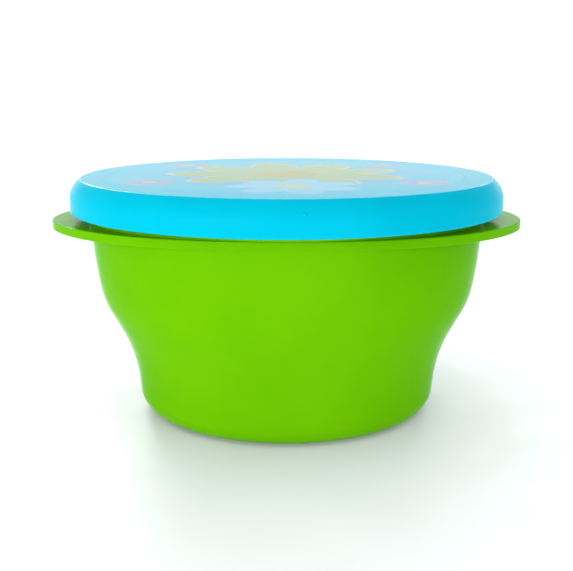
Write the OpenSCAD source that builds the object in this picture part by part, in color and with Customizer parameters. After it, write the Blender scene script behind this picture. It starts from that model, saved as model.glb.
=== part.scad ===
// Round snap lid food container: a bowl with two side tabs, a snap-on seal lid and the
// film label set into the lid's top. +Z is up, the tabs lie along X, and the origin is
// on the surface that the bowl stands on, at the middle of its foot.

/* [Bowl] */
// Radius of the flat foot, where the base corner starts
foot_r = 42; // [40:0.5:43.5]
// Outside radius of the corner between base and wall
corner_r = 7.5; // [6:0.5:9]
// Thickness of the wall
wall = 1.6; // [1.2:0.1:2]
// Thickness of the floor under the food
floor_t = 1.6; // [1.2:0.1:2.4]
// Steepest outward lean of the wall, at the waist, in degrees
waist_lean = 29; // [24:1:30]

/* [Flange and tabs] */
// Half the distance between the tips of the two tabs
tab_reach = 77; // [74:0.5:80]
// Radius of a tab's tip, seen from above
tab_tip_r = 41; // [30:1:46]
// Distance that the tips of the tabs droop below the flange's middle
tab_drop = 1.6; // [0.8:0.1:2.4]
// Height of the flange's upper face above the surface
flange_z = 65.3; // [64.9:0.1:65.8]
// Depth of the flange's turned-down edge
lip_depth = 2.8; // [2:0.1:3.6]

/* [Lid] */
// Outside radius of the lid's skirt
lid_r = 70.5; // [70.2:0.1:72]
// Height of the lid's flat top above the surface
lid_top = 77.4; // [77:0.1:79]
// Height of the skirt, from its lower edge to the lid's top
skirt_h = 10.5; // [9:0.1:10.8]
// Thickness of the lid
lid_t = 1.4; // [1.1:0.1:1.5]

/* [Label] */
// Radius of the round film label in the lid's top
label_r = 58; // [30:1:64]
// Thickness of the film, and the depth of its recess
label_t = 0.3; // [0.2:0.1:0.5]

/* [Hidden] */
$fn = 180;

// Wall, from the base corner up. Each lean is outward from vertical, in degrees.
low_lean = 6;       // draft of the lower wall
waist_r = 47;       // hollow curve into the waist
waist_run = 6.8;    // straight stretch across the waist
shoulder_r = 27;    // round curve out of the waist
high_lean = 11;     // where the shoulder passes into the upper wall
upper_r = 130;      // long curve up to the flange
top_lean = 1.5;     // upper wall, just under the flange
top_run = 1.4;      // upright stretch of wall into the flange
curved_rise = corner_r * (1 - sin(low_lean))
    + (waist_r + shoulder_r) * sin(waist_lean) - waist_r * sin(low_lean)
    + waist_run * cos(waist_lean) - shoulder_r * sin(high_lean)
    + upper_r * (sin(high_lean) - sin(top_lean));
low_run = (flange_z - top_run - curved_rise) / cos(low_lean);   // straight lower wall

// Base
foot_w = 5;         // ring that the bowl stands on
foot_h = 0.8;       // how far the base is hollowed inside that ring
gate_r = 1.6;       // mould gate mark in the middle of the base
mark_r = 9;         // round mould mark about the gate
mark_w = 0.8;
mark_h = 0.4;

// Flange
flange_t = 1.6;
flange_front = 64.2;    // its reach at the front and back, where it meets the wall
lip_t = 1.4;            // thickness of the turned-down edge
arch_r = tab_reach * tab_reach / (2 * tab_drop);    // the flange's slight arch
arch_fn = 1440;

// Upright rim that the lid closes over, and the bead round its top
rim_r = 66.8;
rim_flare_z = 69;       // where the flare from wall to rim ends
bead_r = 1;
rest_gap = 0.05;        // between the rim's top and the lid
rim_top = lid_top - lid_t - rest_gap;

// Lid
edge_r = 0.9;           // tight edge of the lid's top
edge_turn = 36;         // how far that edge turns, in degrees
shoulder_curve_r = 8;   // long curve between the tight edge and the skirt
shoulder_z = lid_top - edge_r - (shoulder_curve_r - edge_r) * cos(edge_turn);
inner_slope = 1.8;      // slope between the skirt's inside and the panel's underside
catch_proud = 1;        // lid's bead that snaps under the rim's bead
catch_z = rim_top - 2 * bead_r - 0.7;
plug_gap = 0.2;         // between the plug ring and the inside of the rim
plug_t = 1.2;
plug_h = 5;
plug_lead = 0.6;        // slope that leads the plug ring into the rim
ring_r = 54;            // stiffening ring under the lid's panel
ring_w = 1.2;
ring_h = 0.9;
dot_r = 0.9;            // small moulded dot on the skirt, just right of the front
dot_proud = 0.3;
dot_z = lid_top - 3.8;
dot_turn = 4;           // degrees round from the front

// Points of an arc about c, from angle a0 to a1.
function arc(c, r, a0, a1, n = 10) =
    [for (i = [0 : n]) let (a = a0 + (a1 - a0) * i / n) c + r * [cos(a), sin(a)]];

// Points of a wall curve that leaves p leaning a0 and ends leaning a1.
// A side of 1 bulges outward and a side of -1 is hollow.
function lean_arc(p, a0, a1, r, side, n = 10) =
    [for (i = [1 : n]) let (a = a0 + (a1 - a0) * i / n)
        p + side * r * [cos(a) - cos(a0), sin(a0) - sin(a)]];

// End of a straight stretch of wall of length l that leaves p leaning a.
function lean_line(p, a, l) = p + l * [sin(a), cos(a)];

function last(v) = v[len(v) - 1];
function reversed(v) = [for (i = [len(v) - 1 : -1 : 0]) v[i]];

// The wall's section line from the base corner to the flange, t inside its outer face.
function wall_line(t) =
    let (corner = arc([foot_r, corner_r], corner_r - t, -90, -low_lean),
         low = lean_line(last(corner), low_lean, low_run),
         waist = lean_arc(low, low_lean, waist_lean, waist_r + t, -1),
         mid = lean_line(last(waist), waist_lean, waist_run),
         shoulder = lean_arc(mid, waist_lean, high_lean, shoulder_r - t, 1),
         upper = lean_arc(last(shoulder), high_lean, top_lean, upper_r - t, 1))
    concat(corner, [low], waist, [mid], shoulder, upper);

// Section line of the rim, from the wall's outer face over the bead to its inner face.
// The inner face follows the outer one, one wall thickness away.
function rim_line() =
    let (top_r = last(wall_line(0))[0],
         flare_lean = atan((rim_r - top_r) / (rim_flare_z - flange_z)),
         inward = [-wall, wall * tan(flare_lean / 2)])
    concat([[top_r, flange_z], [rim_r, rim_flare_z], [rim_r, rim_top - 2 * bead_r]],
           arc([rim_r, rim_top - bead_r], bead_r, -90, 150, 14),
           [[rim_r - wall, rim_top - bead_r], [rim_r, rim_flare_z] + inward,
            [top_r, flange_z] + inward]);

// Oval of four tangent arcs: a is its reach in X, b its reach in Y, and tip the radius
// of its two ends.
module oval(a, b, tip) {
    tip_x = a - tip;
    side_y = (tip_x * tip_x - (b - tip) * (b - tip)) / (2 * (b - tip));
    side_r = b + side_y;
    meet_x = tip_x * side_r / (side_r - tip);
    for (s = [-1, 1]) translate([s * tip_x, 0]) circle(r = tip);
    intersection() {
        translate([0, -side_y]) circle(r = side_r);
        translate([0, side_y]) circle(r = side_r);
        square([2 * meet_x, 2 * b], center = true);
    }
}

module bowl_shell() {
    rotate_extrude() polygon(concat([[0, 0]], wall_line(0), rim_line(),
        reversed(wall_line(wall)), [[0, floor_t]]));
}

// The floor rises over the hollow of the base, so that it keeps its thickness.
module floor_rise() {
    cylinder(r1 = foot_r - foot_w + 1, r2 = foot_r - foot_w, h = floor_t + foot_h);
}

module base_hollow() {
    mark_bottom = foot_h - mark_h;
    difference() {
        translate([0, 0, -1]) cylinder(r = foot_r - foot_w, h = foot_h + 1);
        translate([0, 0, mark_bottom]) cylinder(r = gate_r, h = mark_h);
        translate([0, 0, mark_bottom]) difference() {
            cylinder(r = mark_r, h = mark_h);
            translate([0, 0, -1]) cylinder(r = mark_r - mark_w, h = mark_h + 2);
        }
    }
}

// One layer of the arched flange, with its underside h below the upper face. The
// wall's inside is kept clear.
module flange_layer(h) {
    inside = last(wall_line(0))[0] - wall / 2;
    intersection() {
        linear_extrude(flange_z + 1) difference() {
            children();
            circle(r = inside);
        }
        translate([0, 0, flange_z - arch_r]) rotate([90, 0, 0]) difference() {
            cylinder(r = arch_r, h = 2 * lid_r, center = true, $fn = arch_fn);
            cylinder(r = arch_r - h, h = 2 * lid_r + 2, center = true, $fn = arch_fn);
        }
    }
}

module flange() {
    flange_layer(flange_t) oval(tab_reach, flange_front, tab_tip_r);
    flange_layer(lip_depth) difference() {
        oval(tab_reach, flange_front, tab_tip_r);
        oval(tab_reach - lip_t, flange_front - lip_t, tab_tip_r - lip_t);
    }
}

module bowl() {
    color([0.42, 0.79, 0.05]) difference() {
        union() {
            bowl_shell();
            floor_rise();
            flange();
        }
        base_hollow();
    }
}

// The lid's outer section line, from the middle of its top over the shoulder to the
// skirt. The tight edge, the shoulder curve and the skirt run into each other.
function lid_outside() =
    let (rest = 90 - edge_turn,
         shoulder_x = lid_r - shoulder_curve_r,
         edge_x = shoulder_x + (shoulder_curve_r - edge_r) * sin(edge_turn))
    concat([[0, lid_top]], arc([edge_x, lid_top - edge_r], edge_r, 90, rest, 6),
           arc([shoulder_x, shoulder_z], shoulder_curve_r, rest, 0));

module lid_shell() {
    low = lid_top - skirt_h;
    under = lid_top - lid_t;
    skirt_in = lid_r - lid_t;
    catch_in = skirt_in - catch_proud;
    rotate_extrude() polygon(concat(lid_outside(),
        arc([lid_r - lid_t / 2, low + lid_t / 2], lid_t / 2, 0, -180, 8),
        [[skirt_in, catch_z - 1], [catch_in, catch_z - 0.4], [catch_in, catch_z + 0.1],
         [skirt_in, catch_z + 0.6], [skirt_in, under - inner_slope],
         [skirt_in - inner_slope, under], [0, under]]));
}

module plug_ring() {
    outer = rim_r - wall - plug_gap;
    inner = outer - plug_t;
    under = lid_top - lid_t;
    rotate_extrude() polygon([[outer, under + 0.1], [outer, under - plug_h + 1.5],
        [outer - plug_lead, under - plug_h], [inner, under - plug_h],
        [inner, under + 0.1]]);
}

module panel_ring() {
    rotate_extrude() translate([ring_r - ring_w / 2, lid_top - lid_t - ring_h])
        square([ring_w, ring_h + 0.1]);
}

module skirt_dot() {
    above = dot_z - shoulder_z;
    face_r = lid_r - shoulder_curve_r + sqrt(shoulder_curve_r * shoulder_curve_r - above * above);
    rotate(dot_turn) translate([0, dot_r - dot_proud - face_r, dot_z]) sphere(r = dot_r);
}

module snap_lid() {
    color([0.06, 0.78, 0.93]) difference() {
        union() {
            lid_shell();
            plug_ring();
            panel_ring();
            skirt_dot();
        }
        translate([0, 0, lid_top - label_t]) cylinder(r = label_r, h = label_t + 1);
    }
}

module lid_label() {
    color([0.95, 0.88, 0.4]) translate([0, 0, lid_top - label_t])
        cylinder(r = label_r, h = label_t);
}

bowl();
snap_lid();
lid_label();
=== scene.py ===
import math

import bmesh
import bpy
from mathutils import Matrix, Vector


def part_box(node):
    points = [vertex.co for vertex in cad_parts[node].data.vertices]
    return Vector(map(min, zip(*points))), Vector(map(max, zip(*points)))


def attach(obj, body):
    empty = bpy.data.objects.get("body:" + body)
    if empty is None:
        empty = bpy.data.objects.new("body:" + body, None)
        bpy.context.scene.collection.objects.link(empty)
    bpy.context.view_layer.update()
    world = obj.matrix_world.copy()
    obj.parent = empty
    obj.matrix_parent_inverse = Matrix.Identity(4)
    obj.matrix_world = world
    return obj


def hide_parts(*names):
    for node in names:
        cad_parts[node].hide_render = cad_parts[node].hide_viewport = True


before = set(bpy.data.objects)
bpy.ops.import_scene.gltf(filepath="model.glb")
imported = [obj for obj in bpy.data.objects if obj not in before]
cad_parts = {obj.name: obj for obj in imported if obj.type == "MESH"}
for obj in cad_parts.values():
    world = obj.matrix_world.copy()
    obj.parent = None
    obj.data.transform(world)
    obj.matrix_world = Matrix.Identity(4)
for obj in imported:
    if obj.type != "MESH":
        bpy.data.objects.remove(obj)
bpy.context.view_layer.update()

MM = 0.001

# The bowl's and the lid's heights and reaches, read from the frame.
bowl_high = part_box("bowl")[1]
lid_low, lid_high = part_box("snap_lid")
label_low, label_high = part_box("lid_label")
TAB_REACH = bowl_high.x
RIM_TOP = bowl_high.z
LID_TOP = lid_high.z
LID_R = lid_high.x
SKIRT_LOW = lid_low.z
LABEL_R = label_high.x
LABEL_T = label_high.z - label_low.z


# --- Camera ------------------------------------------------------------------------

CAMERA_DISTANCE = 0.344
CAMERA_ELEVATION = math.radians(11.8)
CAMERA_LENS = 64.0
AIM = Vector((0.0, 0.0, 0.040))


def add_camera():
    data = bpy.data.cameras.new("camera")
    data.lens = CAMERA_LENS
    data.sensor_width = 36.0
    data.clip_start = 0.01
    camera = bpy.data.objects.new("camera", data)
    bpy.context.scene.collection.objects.link(camera)
    back = Vector((0, -math.cos(CAMERA_ELEVATION), math.sin(CAMERA_ELEVATION)))
    camera.location = AIM + back * CAMERA_DISTANCE
    camera.rotation_euler = (math.pi / 2 - CAMERA_ELEVATION, 0, 0)
    bpy.context.scene.camera = camera


# --- Section lines -----------------------------------------------------------------
# A section line is a list of (radius, height) points in metres. Angles are degrees.


def arc(centre, r, start, end, steps):
    """Points of an arc about centre, from angle start to angle end."""
    points = []
    for i in range(steps + 1):
        a = math.radians(start + (end - start) * i / steps)
        points.append((centre[0] + r * math.cos(a), centre[1] + r * math.sin(a)))
    return points


def lean_arc(point, start, end, r, side, steps):
    """A wall curve that leaves point leaning start and ends leaning end, both outward
    from vertical. A side of 1 bulges outward and a side of -1 is hollow."""
    a0 = math.radians(start)
    points = []
    for i in range(1, steps + 1):
        a = math.radians(start + (end - start) * i / steps)
        points.append((point[0] + side * r * (math.cos(a) - math.cos(a0)),
                       point[1] + side * r * (math.sin(a0) - math.sin(a))))
    return points


def lean_line(point, lean, length, steps):
    """A straight stretch of wall that leaves point leaning lean."""
    a = math.radians(lean)
    return [(point[0] + length * math.sin(a) * i / steps,
             point[1] + length * math.cos(a) * i / steps) for i in range(1, steps + 1)]


def fillet(points, radii, steps=5):
    """The open line through points with each inner corner rounded to its radius."""
    line = [points[0]]
    for before, corner, after, r in zip(points, points[1:], points[2:], radii):
        u = Vector(before) - Vector(corner)
        v = Vector(after) - Vector(corner)
        reach_u, reach_v = u.length, v.length
        u.normalize()
        v.normalize()
        turn = math.pi - u.angle(v)
        if r <= 0 or turn < 0.02:
            line.append(corner)
            continue
        cut = min(r * math.tan(turn / 2), reach_u * 0.49, reach_v * 0.49)
        r = cut / math.tan(turn / 2)
        centre = Vector(corner) + (u + v).normalized() * math.hypot(r, cut)
        start = (Vector(corner) + u * cut - centre).normalized()
        end = (Vector(corner) + v * cut - centre).normalized()
        for i in range(steps + 1):
            line.append(tuple(centre + start.slerp(end, i / steps) * r))
    line.append(points[-1])
    return line


# --- The bowl ----------------------------------------------------------------------

WALL = 1.6 * MM
FLOOR_T = 1.6 * MM

# The base: its foot ring, the gate mark and the round mould mark about it.
FOOT_R = 42 * MM
FOOT_W = 5 * MM
FOOT_H = 0.8 * MM
GATE_R = 1.6 * MM
MARK_R = 9 * MM
MARK_W = 0.8 * MM
BASE_ROUND = 0.15 * MM
FOOT_ROUND = 0.3 * MM
FLOOR_ROUND = 1.2 * MM

# The wall, from the base corner up. Leans are outward from vertical.
CORNER_R = 7.5 * MM
LOW_LEAN = 6
LOW_RUN = 4.05 * MM
WAIST_R = 47 * MM
WAIST_LEAN = 29
WAIST_RUN = 6.8 * MM
SHOULDER_R = 27 * MM
HIGH_LEAN = 11
UPPER_R = 130 * MM
TOP_LEAN = 1.5

# The flange, an oval with a slight arch, and its turned-down edge.
FLANGE_Z = 65.3 * MM
FLANGE_T = 1.6 * MM
FLANGE_FRONT = 64.2 * MM
LIP_T = 1.4 * MM
LIP_DEPTH = 2.8 * MM
TAB_TIP_R = 41 * MM
TAB_DROP = 1.6 * MM
ARCH_R = TAB_REACH ** 2 / (2 * TAB_DROP)
HOLLOW_ROUND = 0.5 * MM
LIP_ROUND = 0.35 * MM
TOP_ROUND = 0.3 * MM
HOLLOW_FADE = 1.2 * MM      # reach past the lip over which the hollow gets its depth
LEAST_DEPTH = 0.02 * MM

# The rim that the lid closes over, and the bead round its top.
RIM_R = 66.8 * MM
RIM_FLARE_Z = 69 * MM
BEAD_R = 1.0 * MM
RIM_ROOT_ROUND = 0.3 * MM
FLARE_START_ROUND = 0.6 * MM
FLARE_ROUND = 3 * MM
BEAD_ROUND = 0.8 * MM
AROUND = 288                # steps round the axis


def wall_line(inset):
    """The wall from the base corner to the flange, inset inside its outer face."""
    corner = arc((FOOT_R, CORNER_R), CORNER_R - inset, -90, -LOW_LEAN, 14)
    low = lean_line(corner[-1], LOW_LEAN, LOW_RUN, 3)
    waist = lean_arc(low[-1], LOW_LEAN, WAIST_LEAN, WAIST_R + inset, -1, 14)
    middle = lean_line(waist[-1], WAIST_LEAN, WAIST_RUN, 4)
    shoulder = lean_arc(middle[-1], WAIST_LEAN, HIGH_LEAN, SHOULDER_R - inset, 1, 12)
    upper = lean_arc(shoulder[-1], HIGH_LEAN, TOP_LEAN, UPPER_R - inset, 1, 12)
    return corner + low + waist + middle + shoulder + upper


WALL_TOP_R = wall_line(0)[-1][0]


def on_wall(z):
    """The point of the wall's outer face at height z, near its top."""
    line = wall_line(0)
    for (r0, z0), (r1, z1) in zip(line, line[1:]):
        if z0 <= z < z1:
            return (r0 + (r1 - r0) * (z - z0) / (z1 - z0), z)
    return (WALL_TOP_R, z)


def arch_drop(x):
    """How far the flange's slight arch lies below its middle, at x across it."""
    return ARCH_R - math.sqrt(ARCH_R ** 2 - x ** 2)


def flange_reach(angle):
    """Distance from the axis to the flange's edge: an oval of four tangent arcs."""
    tip_x = TAB_REACH - TAB_TIP_R
    half = FLANGE_FRONT - TAB_TIP_R
    side_y = (tip_x ** 2 - half ** 2) / (2 * half)
    side_r = FLANGE_FRONT + side_y
    c, s = abs(math.cos(angle)), abs(math.sin(angle))
    on_side = -side_y * s + math.sqrt(side_r ** 2 - (side_y * c) ** 2)
    meet_x = tip_x * side_r / (side_r - TAB_TIP_R)
    if on_side * c <= meet_x:
        return on_side
    return tip_x * c + math.sqrt(TAB_TIP_R ** 2 - (tip_x * s) ** 2)


def flange_line(angle):
    """The flange's section at one angle, from the wall under it to the rim above it.
    The hollow under it closes where the flange runs into the wall."""
    reach = flange_reach(angle)
    out = reach - WALL_TOP_R
    low = FLANGE_Z - LIP_DEPTH
    width = max(out - LIP_T, 0.35 * out)
    open_part = min(1.0, max(0.0, (out - LIP_T) / HOLLOW_FADE))
    open_part = open_part * open_part * (3 - 2 * open_part)
    depth = LEAST_DEPTH + (LIP_DEPTH - FLANGE_T) * open_part
    inner_r = WALL_TOP_R + width
    root = min(HOLLOW_ROUND, 0.4 * width, 0.45 * depth)
    edge = min(LIP_ROUND, 0.25 * (out - width))
    top = min(TOP_ROUND, 0.25 * out)
    line = [(WALL_TOP_R, low - 0.4 * MM)]
    line += arc((WALL_TOP_R + root, low + depth - root), root, 180, 90, 3)
    line += arc((inner_r - root, low + depth - root), root, 90, 0, 3)
    line += arc((inner_r + edge, low + edge), edge, 180, 270, 4)
    line += arc((reach - edge, low + edge), edge, -90, 0, 4)
    line += arc((reach - top, FLANGE_Z - top), top, 0, 90, 4)
    line += [(reach - top - (out - top) * i / 8, FLANGE_Z) for i in range(1, 8)]
    line = [(r, z - arch_drop(r * math.cos(angle))) for r, z in line]
    return [on_wall(line[0][1])] + line[1:]


def rim_line(angle):
    """The rim from the flange's upper face over the bead to the inside of the wall."""
    root_z = FLANGE_Z - max(arch_drop(WALL_TOP_R * math.cos(angle)), LEAST_DEPTH)
    lean = math.atan2(RIM_R - WALL_TOP_R, RIM_FLARE_Z - FLANGE_Z)
    rise = WALL * math.tan(lean / 2)
    bead_z = RIM_TOP - BEAD_R
    bead_half = (BEAD_R + WALL) / 2
    bead_x = RIM_R + BEAD_R - bead_half
    outside = fillet([(WALL_TOP_R + 0.6 * MM, root_z), (WALL_TOP_R, root_z),
                      (WALL_TOP_R, FLANGE_Z), (RIM_R, RIM_FLARE_Z),
                      (RIM_R, bead_z - BEAD_R), (RIM_R + BEAD_R, bead_z - 0.4 * MM),
                      (RIM_R + BEAD_R, bead_z)],
                     [RIM_ROOT_ROUND, FLARE_START_ROUND, FLARE_ROUND, BEAD_ROUND,
                      BEAD_ROUND])
    over = [(bead_x + bead_half * math.cos(math.radians(a)),
             bead_z + BEAD_R * math.sin(math.radians(a))) for a in range(0, 181, 12)]
    top_in = wall_line(WALL)[-1][0]
    inside = fillet([(RIM_R - WALL, bead_z), (RIM_R - WALL, RIM_FLARE_Z + rise),
                     (top_in, FLANGE_Z + rise), (top_in, FLANGE_Z - 2 * MM)],
                    [FLARE_ROUND, FLARE_ROUND], 6)
    return outside[1:-1] + over + inside[1:]


def base_line():
    """The underside, from its middle out to where the base corner starts: the gate
    mark, the round mould mark, the hollow and the foot ring."""
    nub = FOOT_H / 2
    mark_in = MARK_R - MARK_W
    foot_in = FOOT_R - FOOT_W
    line = [(0, nub), (GATE_R, nub), (GATE_R, FOOT_H), (mark_in, FOOT_H), (mark_in, nub),
            (MARK_R, nub), (MARK_R, FOOT_H), (foot_in, FOOT_H), (foot_in, 0), (FOOT_R, 0)]
    return fillet(line, [BASE_ROUND] * 6 + [FOOT_ROUND] * 2, 3)


def floor_line():
    """The floor inside the bowl, from the wall's corner to its middle."""
    foot_in = FOOT_R - FOOT_W
    line = [(FOOT_R, FLOOR_T), (foot_in + 1.6 * MM, FLOOR_T),
            (foot_in, FLOOR_T + FOOT_H), (MARK_R, FLOOR_T + FOOT_H),
            (0, FLOOR_T + FOOT_H)]
    return fillet(line, [FLOOR_ROUND, FLOOR_ROUND, 0], 4)


def spin(name, section):
    """A closed mesh from section(angle), a list of (radius, height) points that has
    the same length at every angle and starts and ends on the axis."""
    bm = bmesh.new()
    rings = []
    ends = section(0)
    first = bm.verts.new((0, 0, ends[0][1]))
    last = bm.verts.new((0, 0, ends[-1][1]))
    for i in range(AROUND):
        a = 2 * math.pi * i / AROUND
        rings.append([bm.verts.new((r * math.cos(a), r * math.sin(a), z))
                      for r, z in section(a)[1:-1]])
    for i, ring in enumerate(rings):
        after = rings[(i + 1) % AROUND]
        bm.faces.new((first, after[0], ring[0]))
        bm.faces.new((last, ring[-1], after[-1]))
        for k in range(len(ring) - 1):
            bm.faces.new((ring[k], after[k], after[k + 1], ring[k + 1]))
    return finish_mesh(name, bm)


def finish_mesh(name, bm):
    """A smooth-shaded object from the mesh being built."""
    bmesh.ops.recalc_face_normals(bm, faces=bm.faces)
    mesh = bpy.data.meshes.new(name)
    bm.to_mesh(mesh)
    bm.free()
    mesh.polygons.foreach_set("use_smooth", [True] * len(mesh.polygons))
    piece = bpy.data.objects.new(name, mesh)
    bpy.context.scene.collection.objects.link(piece)
    keep_flats = piece.modifiers.new("keep_flats", "WEIGHTED_NORMAL")
    keep_flats.weight = 60
    return piece


def make_bowl():
    low = FLANGE_Z - LIP_DEPTH - TAB_DROP
    below = [p for p in base_line()[:-1] + wall_line(0) if p[1] < low - 0.5 * MM]
    inner = wall_line(WALL)[::-1] + floor_line()[1:]

    def section(angle):
        return below + flange_line(angle) + rim_line(angle) + inner

    return spin("bowl_shell", section)


# --- The lid -----------------------------------------------------------------------

LID_T = 1.4 * MM
EDGE_R = 0.9 * MM
EDGE_TURN = math.radians(36)
SIDE_R = 8 * MM
SIDE_Z = LID_TOP - EDGE_R - (SIDE_R - EDGE_R) * math.cos(EDGE_TURN)
INNER_SLOPE = 1.8 * MM
CATCH_PROUD = 1 * MM
PLUG_GAP = 0.2 * MM
PLUG_LEAD = 0.6 * MM
RING_R = 54 * MM
RING_W = 1.2 * MM
RING_H = 0.9 * MM
PLUG_H = 5 * MM
PLUG_T = 1.2 * MM
UNDER = LID_TOP - LID_T
LABEL_GAP = 0.01 * MM
RECESS_ROOT_ROUND = 0.04 * MM
RECESS_EDGE_ROUND = 0.05 * MM


def lid_outside():
    """The lid's outer line, from the label's recess over the shoulder to the skirt."""
    rest = 90 - math.degrees(EDGE_TURN)
    side_x = LID_R - SIDE_R
    edge_x = side_x + (SIDE_R - EDGE_R) * math.sin(EDGE_TURN)
    edge = arc((edge_x, LID_TOP - EDGE_R), EDGE_R, 90, rest, 8)
    side = arc((side_x, SIDE_Z), SIDE_R, rest, 0, 18)
    recess_r = LABEL_R + LABEL_GAP
    recess_z = LID_TOP - LABEL_T
    corner = fillet([(recess_r - 1 * MM, recess_z), (recess_r, recess_z),
                     (recess_r, LID_TOP), (recess_r + 1 * MM, LID_TOP)],
                    [RECESS_ROOT_ROUND, RECESS_EDGE_ROUND], 3)
    flat = [(recess_r * i / 6, recess_z) for i in range(6)]
    return flat + corner + edge + side[1:]


def lid_inside():
    """The lid's inner line, from the skirt's lower edge to the middle of its panel:
    the bead that snaps under the rim, the channel for the rim, the plug ring and the
    stiffening ring."""
    skirt_in = LID_R - LID_T
    catch_in = skirt_in - CATCH_PROUD
    catch_z = RIM_TOP - 2 * BEAD_R - 0.7 * MM
    plug_out = RIM_R - WALL - PLUG_GAP
    plug_in = plug_out - PLUG_T
    plug_z = UNDER - PLUG_H
    ring_z = UNDER - RING_H
    ring_out = RING_R + RING_W / 2
    ring_in = RING_R - RING_W / 2
    half = LID_T / 2
    lower = arc((LID_R - half, SKIRT_LOW + half), half, 0, -180, 12)
    # Each corner with the radius that rounds it, in mm.
    corners = [((skirt_in, catch_z - 1 * MM), 0.4),
               ((catch_in, catch_z - 0.4 * MM), 0.2),
               ((catch_in, catch_z + 0.1 * MM), 0.2),
               ((skirt_in, catch_z + 0.6 * MM), 0.4),
               ((skirt_in, UNDER - INNER_SLOPE), 0.5),
               ((skirt_in - INNER_SLOPE, UNDER), 0.5),
               ((plug_out, UNDER), 0.3),
               ((plug_out, plug_z + 1.5 * MM), 1),
               ((plug_out - PLUG_LEAD, plug_z), 0.3),
               ((plug_in, plug_z), 0.3),
               ((plug_in, UNDER), 0.8),
               ((ring_out, UNDER), 0.4),
               ((ring_out, ring_z), 0.3),
               ((ring_in, ring_z), 0.3),
               ((ring_in, UNDER), 0.4),
               ((20 * MM, UNDER), 0)]
    line = [lower[-1]] + [point for point, r in corners] + [(0, UNDER)]
    return lower[:-1] + fillet(line, [r * MM for point, r in corners], 4)


def make_lid():
    section = lid_outside() + lid_inside()
    return spin("lid_shell", lambda angle: section)


def make_label():
    """The film disc, with a softened upper edge, lying in the lid's recess."""
    low = LID_TOP - LABEL_T
    line = [(0, low), (LABEL_R, low), (LABEL_R, LID_TOP), (LABEL_R - 2 * MM, LID_TOP)]
    section = fillet(line, [0.03 * MM, 0.04 * MM], 3)
    section = [(LABEL_R * i / 5, low) for i in range(5)] + section[1:-1]
    section += [(LABEL_R * (1 - i / 8) - 2 * MM, LID_TOP) for i in range(8)]
    section += [(0, LID_TOP)]
    return spin("label_film", lambda angle: section)


DOT_R = 0.67 * MM
DOT_PROUD = 0.3 * MM
DOT_SUNK = 0.15 * MM
DOT_Z = LID_TOP - 3.8 * MM
DOT_TURN = math.radians(4)


def make_dot():
    """The small moulded dot on the skirt, just right of the front: a low round dome,
    sunk into the wall."""
    steps, rings = 24, 6
    bm = bmesh.new()
    tip = bm.verts.new((0, -DOT_PROUD, 0))
    back = bm.verts.new((0, DOT_SUNK, 0))
    circles = []
    for k in range(1, rings + 1):
        a = math.pi / 2 * k / rings
        circles.append((DOT_R * math.sin(a), -DOT_PROUD * math.cos(a)))
    circles.append((DOT_R, DOT_SUNK))
    loops = [[bm.verts.new((r * math.cos(2 * math.pi * i / steps), y,
                            r * math.sin(2 * math.pi * i / steps)))
              for i in range(steps)] for r, y in circles]
    for i in range(steps):
        j = (i + 1) % steps
        bm.faces.new((tip, loops[0][i], loops[0][j]))
        bm.faces.new((back, loops[-1][j], loops[-1][i]))
        for a, b in zip(loops, loops[1:]):
            bm.faces.new((a[i], b[i], b[j], a[j]))
    c, s = math.cos(DOT_TURN), math.sin(DOT_TURN)
    face_r = LID_R - SIDE_R + math.sqrt(SIDE_R ** 2 - (DOT_Z - SIDE_Z) ** 2)
    for v in bm.verts:
        x, y, z = v.co
        y -= face_r
        v.co = (x * c - y * s, x * s + y * c, z + DOT_Z)
    return finish_mesh("skirt_dot", bm)


# --- Materials ---------------------------------------------------------------------


def rgb(r, g, b):
    """A colour given as 0 to 255 screen values."""
    def straight(v):
        v /= 255
        return v / 12.92 if v <= 0.04045 else ((v + 0.055) / 1.055) ** 2.4
    return (straight(r), straight(g), straight(b), 1)


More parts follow.
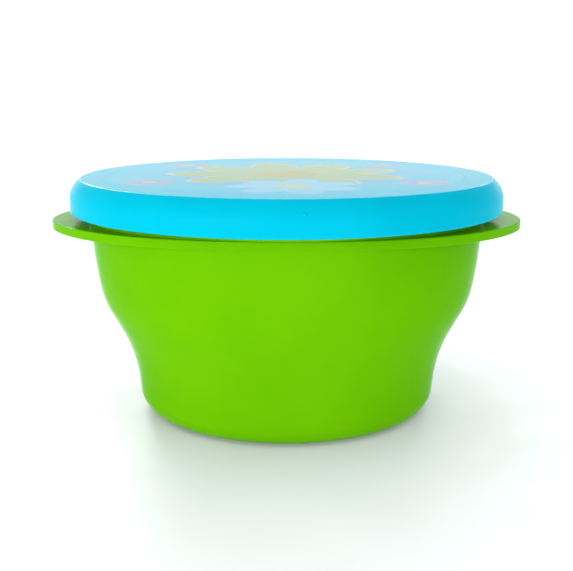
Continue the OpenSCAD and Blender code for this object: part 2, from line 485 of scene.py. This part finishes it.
class Nodes:
    """Short calls for building one material's nodes."""

    def __init__(self, name):
        self.material = bpy.data.materials.new(name)
        self.material.use_nodes = True
        self.tree = self.material.node_tree
        self.shader = self.tree.nodes["Principled BSDF"]
        self.place = self.tree.nodes.new("ShaderNodeTexCoord").outputs["Object"]

    def add(self, kind, **values):
        node = self.tree.nodes.new("ShaderNode" + kind)
        for key, value in values.items():
            setattr(node, key, value)
        return node

    def link(self, value, socket):
        if isinstance(value, bpy.types.NodeSocket):
            self.tree.links.new(value, socket)
        else:
            socket.default_value = value

    def math(self, operation, a, b=0.0, c=0.0):
        node = self.add("Math", operation=operation)
        for value, socket in zip((a, b, c), node.inputs):
            self.link(value, socket)
        return node.outputs[0]

    def noise(self, scale, detail=2.0, roughness=0.5):
        node = self.add("TexNoise")
        self.link(self.place, node.inputs["Vector"])
        node.inputs["Scale"].default_value = scale
        node.inputs["Detail"].default_value = detail
        node.inputs["Roughness"].default_value = roughness
        return node.outputs["Fac"]

    def spread(self, value, low, high, to_low=0.0, to_high=1.0):
        """A smooth step from to_low at low to to_high at high."""
        node = self.add("MapRange", interpolation_type="SMOOTHSTEP")
        for v, socket in zip((value, low, high, to_low, to_high), node.inputs):
            self.link(v, socket)
        return node.outputs[0]

    def mix(self, factor, a, b):
        node = self.add("Mix", data_type="RGBA")
        self.link(factor, node.inputs[0])
        self.link(a, node.inputs[6])
        self.link(b, node.inputs[7])
        return node.outputs[2]

    def bump(self, height, distance, under=None):
        node = self.add("Bump")
        self.link(height, node.inputs["Height"])
        node.inputs["Distance"].default_value = distance
        if under is not None:
            self.link(under, node.inputs["Normal"])
        return node.outputs[0]

    def polar(self, centre=(0.0, 0.0)):
        """Distance and angle about a point of the plan."""
        split = self.add("SeparateXYZ")
        self.link(self.place, split.inputs[0])
        x = self.math("SUBTRACT", split.outputs[0], centre[0])
        y = self.math("SUBTRACT", split.outputs[1], centre[1])
        across = self.math("MULTIPLY", x, x)
        squared = self.math("MULTIPLY_ADD", y, y, across)
        return self.math("SQRT", squared), self.math("ARCTAN2", y, x)

    def scuffs(self, scale, along):
        """Fine marks that run round the axis: noise drawn out along the turning angle."""
        split = self.add("SeparateXYZ")
        self.link(self.place, split.inputs[0])
        r, turn = self.polar()
        joined = self.add("CombineXYZ")
        self.link(self.math("MULTIPLY", turn, along), joined.inputs[0])
        self.link(r, joined.inputs[1])
        self.link(split.outputs[2], joined.inputs[2])
        node = self.add("TexNoise")
        self.link(joined.outputs[0], node.inputs["Vector"])
        node.inputs["Scale"].default_value = scale
        node.inputs["Detail"].default_value = 3.0
        return node.outputs["Fac"]


def moulded_skin(n, grain, grain_depth, swell_depth, mark_depth=0.006 * MM):
    """The bump of a moulded plastic face: a slow swell, a mould's fine satin grain and
    faint scuffs that run round it."""
    swell = n.bump(n.noise(55, 1.5), swell_depth)
    marks = n.spread(n.scuffs(900, 0.012), 0.66, 0.76)
    scratched = n.bump(n.math("MULTIPLY", marks, -1.0), mark_depth, under=swell)
    return n.bump(n.noise(grain, 3.0, 0.6), grain_depth, under=scratched), marks


def bowl_plastic():
    n = Nodes("bowl_plastic")
    split = n.add("SeparateXYZ")
    n.link(n.place, split.inputs[0])
    drift = n.spread(n.noise(28, 3.0), 0.3, 0.7)
    colour = n.mix(drift, rgb(107, 192, 3), rgb(114, 198, 5))
    skin, marks = moulded_skin(n, 3200, 0.008 * MM, 0.10 * MM)
    rub = n.spread(split.outputs[2], 0.6 * MM, 0.0)
    rub = n.math("MULTIPLY", rub, n.spread(n.noise(700, 4.0), 0.4, 0.65))
    colour = n.mix(n.math("MULTIPLY", rub, 0.5), colour, rgb(176, 226, 110))
    n.link(colour, n.shader.inputs["Base Color"])
    roughness = n.spread(n.noise(40, 2.0), 0.3, 0.7, 0.10, 0.13)
    roughness = n.math("MULTIPLY_ADD", marks, 0.06, roughness)
    n.link(n.math("MULTIPLY_ADD", rub, 0.25, roughness), n.shader.inputs["Roughness"])
    n.link(skin, n.shader.inputs["Normal"])
    n.shader.inputs["IOR"].default_value = 1.49
    n.shader.inputs["Specular IOR Level"].default_value = 0.007
    n.shader.inputs["Subsurface Weight"].default_value = 0.1
    n.shader.inputs["Subsurface Radius"].default_value = (0.4, 1.0, 0.15)
    n.shader.inputs["Subsurface Scale"].default_value = 1.5 * MM
    return n.material


def lid_colour(n):
    drift = n.spread(n.noise(24, 3.0), 0.3, 0.7)
    return n.mix(drift, rgb(2, 196, 227), rgb(3, 203, 235))


def lid_shine(n, rough_low, rough_high, marks):
    roughness = n.spread(n.noise(24, 1.0), 0.3, 0.7, rough_low, rough_high)
    n.link(n.math("MULTIPLY_ADD", marks, 0.01, roughness), n.shader.inputs["Roughness"])
    n.shader.inputs["IOR"].default_value = 1.5
    n.shader.inputs["Specular IOR Level"].default_value = 0.008
    n.shader.inputs["Subsurface Scale"].default_value = 2 * MM
    n.shader.inputs["Subsurface Radius"].default_value = (0.2, 0.8, 1.0)


def lid_plastic():
    n = Nodes("lid_plastic")
    skin, marks = moulded_skin(n, 1500, 0.0008 * MM, 0.02 * MM, 0.0004 * MM)
    n.link(lid_colour(n), n.shader.inputs["Base Color"])
    lid_shine(n, 0.17, 0.20, marks)
    n.shader.inputs["Subsurface Weight"].default_value = 0.25
    n.link(skin, n.shader.inputs["Normal"])
    return n.material


def flower(n, place, petals, radius):
    """Masks of a plain flower: its petals, their coloured edges and its middle."""
    soft = 0.4 * MM
    step = 2 * math.pi / petals
    half_length = 0.42 * radius
    half_width = 1.05 * math.tan(step / 2) * (radius - half_length)
    r, turn = n.polar(place)
    part = n.math("FRACT", n.math("MULTIPLY", turn, 1 / step))
    lean = n.math("MULTIPLY", n.math("SUBTRACT", part, 0.5), step)
    along = n.math("MULTIPLY", r, n.math("COSINE", lean))
    along = n.math("MULTIPLY", n.math("SUBTRACT", along, radius - half_length),
                   1 / half_length)
    across = n.math("MULTIPLY", n.math("MULTIPLY", r, n.math("SINE", lean)),
                    1 / half_width)
    squared = n.math("MULTIPLY_ADD", along, along, n.math("MULTIPLY", across, across))
    shape = n.math("SQRT", squared)
    blur = soft / half_width
    petal = n.spread(shape, 1 + blur, 1 - blur)
    rim = n.math("SUBTRACT", petal, n.spread(shape, 0.86 + blur, 0.86 - blur))
    middle = n.spread(r, 0.27 * radius + soft, 0.27 * radius - soft)
    return petal, rim, middle


def label_print():
    """A clear film over the lid's colour, printed with plain flowers: a large pale
    yellow one, a pale blue one in front of it and four small lilac ones round them."""
    n = Nodes("label_print")
    yellow, gold, cream = rgb(162, 190, 132), rgb(180, 176, 100), rgb(186, 202, 164)
    blue, pale_blue = rgb(96, 200, 240), rgb(132, 208, 240)
    lilac, pink = rgb(150, 172, 218), rgb(184, 162, 184)
    # Each flower's place, number of petals, radius and three inks.
    flowers = [((0, 3 * MM), 9, 40 * MM, yellow, cream, gold),
               ((2 * MM, -35 * MM), 7, 21 * MM, pale_blue, blue, cream)]
    for x, y in ((-42, -24), (42, -26), (-36, 35), (35, 36)):
        flowers.append(((x * MM, y * MM), 5, 8.5 * MM, lilac, pink, cream))
    screen = n.spread(n.noise(5200, 1.0), 0.35, 0.65, 0.93, 1.0)
    r, _ = n.polar()
    cloud = n.math("MULTIPLY", n.spread(r, 55 * MM, 25 * MM), 0.6)
    colour = n.mix(n.math("MULTIPLY", cloud, screen), lid_colour(n), rgb(112, 176, 222))
    for place, petals, radius, *inks in flowers:
        for mask, ink in zip(flower(n, place, petals, radius), inks):
            colour = n.mix(n.math("MULTIPLY", mask, screen), colour, ink)
    n.link(colour, n.shader.inputs["Base Color"])
    skin, marks = moulded_skin(n, 1200, 0.0003 * MM, 0.01 * MM, 0.0002 * MM)
    lid_shine(n, 0.16, 0.18, marks)
    n.shader.inputs["Subsurface Weight"].default_value = 0.1
    n.link(skin, n.shader.inputs["Normal"])
    return n.material


def floor_paper():
    n = Nodes("floor_paper")
    tone = n.spread(n.noise(9, 4.0), 0.3, 0.7)
    n.link(n.mix(tone, rgb(162, 163, 164), rgb(165, 166, 167)),
           n.shader.inputs["Base Color"])
    n.link(n.spread(n.noise(40, 3.0), 0.3, 0.7, 0.5, 0.6), n.shader.inputs["Roughness"])
    n.link(n.bump(n.noise(900, 3.0), 0.02 * MM), n.shader.inputs["Normal"])
    return n.material


# --- Stage -------------------------------------------------------------------------


# Ramps of the sky's strength, as from, to, and the strength at each. The first climbs
# with a direction's Z and the second is added along its Y. The tint is the sky's colour
# above the horizon, where it is white.
SKY_RISE = (0.05, 0.25, 1.02, 0.62)
SKY_BACK = (0.70, 0.95, 0.0, 0.45)
SKY_TINT = (0.86, 1.0, 1.03, 1)
FLOOR_LAMP = 6.4
TOP_LAMP = 0.58
TOP_LAMP_LEAN = math.radians(-52)
FLOOR_R = 30.0
FLOOR_DROP = 0.02 * MM


def add_floor():
    bm = bmesh.new()
    bmesh.ops.create_circle(bm, cap_ends=True, radius=FLOOR_R, segments=96)
    mesh = bpy.data.meshes.new("floor")
    bm.to_mesh(mesh)
    bm.free()
    floor = bpy.data.objects.new("floor", mesh)
    bpy.context.scene.collection.objects.link(floor)
    floor.data.materials.append(floor_paper())
    floor.location.z = -FLOOR_DROP
    return floor


def add_sky():
    """A pale studio all round: white at the horizon, dimmer above it, and brightest on
    the backdrop behind the object."""
    world = bpy.data.worlds.new("studio")
    world.use_nodes = True
    bpy.context.scene.world = world
    tree = world.node_tree
    way = tree.nodes.new("ShaderNodeTexCoord")
    split = tree.nodes.new("ShaderNodeSeparateXYZ")
    total = tree.nodes.new("ShaderNodeMath")
    tree.links.new(way.outputs["Generated"], split.inputs[0])
    for ramp_values, axis, term in ((SKY_RISE, 2, 0), (SKY_BACK, 1, 1)):
        ramp = tree.nodes.new("ShaderNodeMapRange")
        ramp.interpolation_type = "SMOOTHSTEP"
        tree.links.new(split.outputs[axis], ramp.inputs[0])
        for socket, value in zip(ramp.inputs[1:], ramp_values):
            socket.default_value = value
        tree.links.new(ramp.outputs[0], total.inputs[term])
    height = tree.nodes.new("ShaderNodeMapRange")
    height.interpolation_type = "SMOOTHSTEP"
    tree.links.new(split.outputs[2], height.inputs[0])
    height.inputs[1].default_value, height.inputs[2].default_value = SKY_RISE[:2]
    tint = tree.nodes.new("ShaderNodeMix")
    tint.data_type = "RGBA"
    tree.links.new(height.outputs[0], tint.inputs[0])
    tint.inputs[6].default_value = (1, 1, 1, 1)
    tint.inputs[7].default_value = SKY_TINT
    background = tree.nodes["Background"]
    tree.links.new(total.outputs[0], background.inputs["Strength"])
    tree.links.new(tint.outputs[2], background.inputs["Color"])


def add_softbox(name, place, aim, size, watts, tint=(1, 1, 1), gloss_only=False):
    """An area lamp that the camera doesn't see."""
    data = bpy.data.lights.new(name, "AREA")
    data.shape = "RECTANGLE"
    data.size, data.size_y = size
    data.energy = watts
    data.color = tint
    light = bpy.data.objects.new(name, data)
    bpy.context.scene.collection.objects.link(light)
    light.location = place
    way = Vector(aim) - Vector(place)
    light.rotation_euler = way.to_track_quat("-Z", "Y").to_euler()
    light.visible_camera = False
    light.visible_diffuse = not gloss_only


def light_only(name, pieces, energy, own_shadows=False):
    """A wide lamp overhead that lights only some pieces. With own_shadows, only those
    pieces cast shadows in its light."""
    data = bpy.data.lights.new(name, "SUN")
    data.energy = energy
    data.angle = math.radians(120)
    lamp = bpy.data.objects.new(name, data)
    bpy.context.scene.collection.objects.link(lamp)
    only = bpy.data.collections.new(name + "_pieces")
    for piece in pieces:
        only.objects.link(piece)
    lamp.light_linking.receiver_collection = only
    if own_shadows:
        lamp.light_linking.blocker_collection = only
    return lamp


def add_lights():
    """A low warm key at the left, and two panels behind that show only in the gloss
    along the lid's upper edge and on the tabs."""
    add_softbox("key", (-0.54, -0.78, 0.14), (0, 0, 0.04), (0.6, 0.5), 3.8,
                (1.22, 0.97, 0.91))
    add_softbox("rim_left", (-0.42, 1.04, 0.62), (0, 0, 0.07), (0.22, 0.60), 11,
                gloss_only=True)
    add_softbox("rim_right", (0.41, 1.12, 0.50), (0, 0, 0.07), (0.16, 0.34), 1.4,
                gloss_only=True)


add_camera()
floor = add_floor()
light_only("floor_lamp", [floor], FLOOR_LAMP, own_shadows=True)
add_sky()
add_lights()
bpy.context.scene.view_settings.view_transform = "Standard"

bowl = make_bowl()
bowl.data.materials.append(bowl_plastic())
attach(bowl, "bowl")
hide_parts("bowl")

lid = make_lid()
lid.data.materials.append(lid_plastic())
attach(lid, "lid")
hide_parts("snap_lid")

dot = make_dot()
dot.data.materials.append(lid.data.materials[0])
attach(dot, "lid")

label = make_label()
label.data.materials.append(label_print())
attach(label, "lid")
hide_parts("lid_label")

top_lamp = light_only("top_lamp", [lid, label], TOP_LAMP)
top_lamp.rotation_euler = (TOP_LAMP_LEAN, 0, 0)
